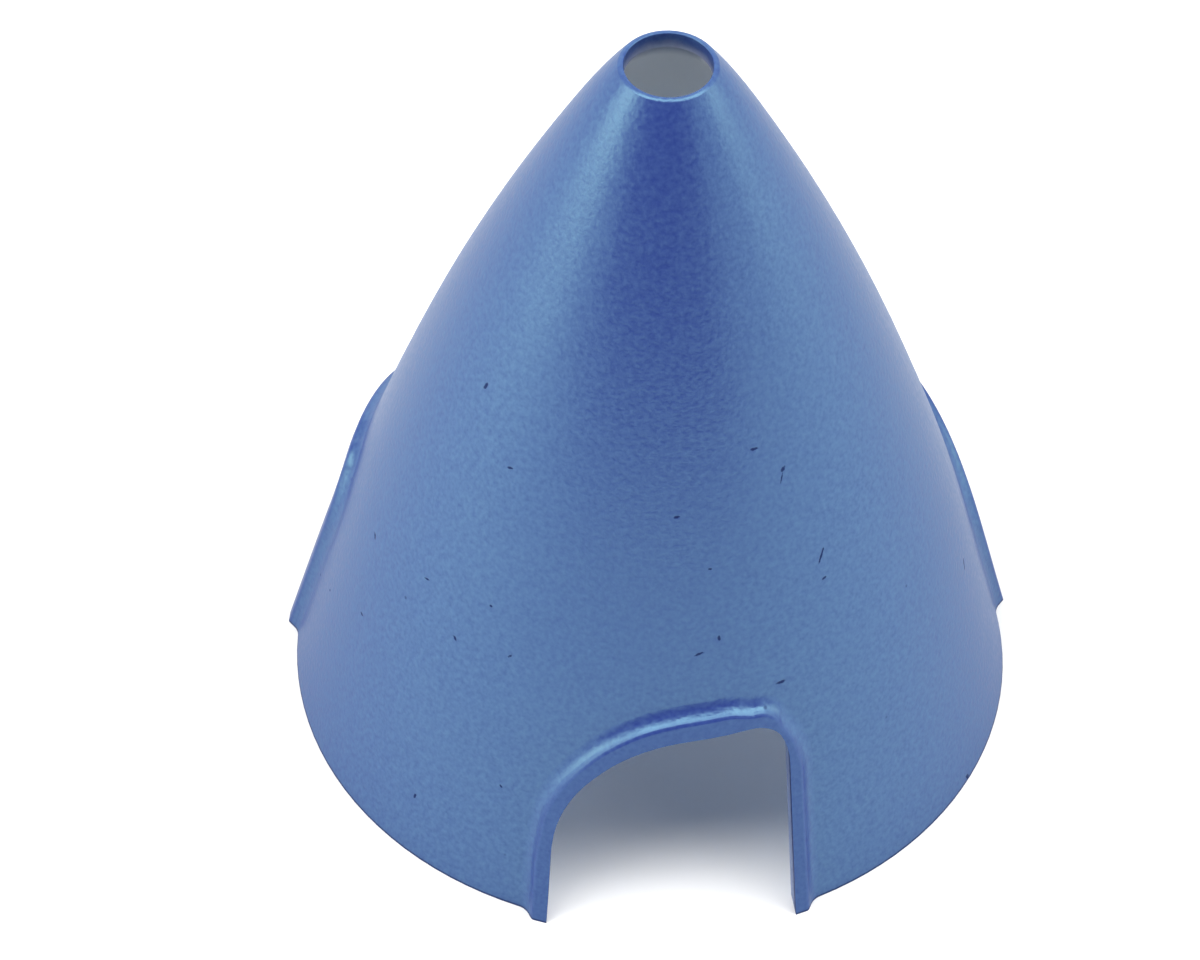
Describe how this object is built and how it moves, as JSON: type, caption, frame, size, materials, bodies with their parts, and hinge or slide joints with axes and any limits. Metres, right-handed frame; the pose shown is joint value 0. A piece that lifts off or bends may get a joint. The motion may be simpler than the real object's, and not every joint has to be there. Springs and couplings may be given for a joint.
{
  "type": "propeller spinner",
  "caption": "Pointed spinner cone for an aircraft propeller: a thin moulded shell with a round nose hole and swept blade openings framed by raised lips.",
  "frame": {"origin": "on the spin axis, in the plane of the open base rim", "axes": "+Z along the spin axis from the base rim to the nose; one blade opening faces -Y, with +X to its right seen from outside"},
  "size_m": [0.0582, 0.0562, 0.0663],
  "materials": {
    "shell": "satin metallic blue paint outside, bare white plastic inside"
  },
  "bodies": {
    "root": {"spinner_cone": "shell"}
  },
  "joints": []
}
